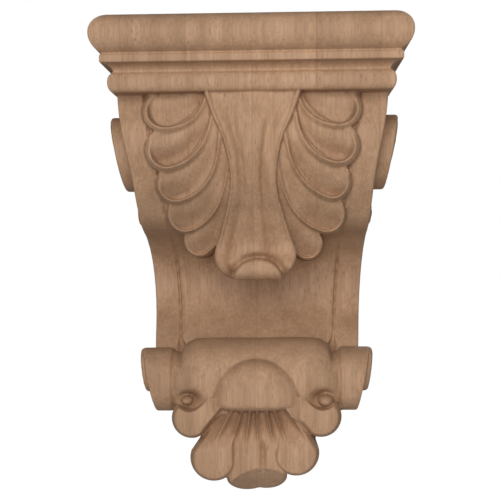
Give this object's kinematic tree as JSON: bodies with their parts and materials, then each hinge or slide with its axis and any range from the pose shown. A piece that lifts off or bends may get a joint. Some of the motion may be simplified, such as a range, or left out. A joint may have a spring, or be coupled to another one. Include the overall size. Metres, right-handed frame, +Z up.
{
  "type": "carved wooden corbel bracket",
  "caption": "Carved wooden corbel bracket with a moulded cap, a hanging acanthus leaf, side scrolls, a scroll roll at the foot and a shell leaf under it",
  "frame": {"origin": "centre of the flat back face, where the corbel meets the wall", "axes": "+Z up, +Y out of the back face into the wall, the carved front faces -Y, +X to the right as the front is seen"},
  "size_m": [0.2026, 0.1449, 0.3141],
  "materials": {
    "carved_wood": "unfinished, sanded smooth, with fine open pores and upright grain"
  },
  "bodies": {
    "root": {"corbel": "carved_wood"}
  },
  "joints": []
}
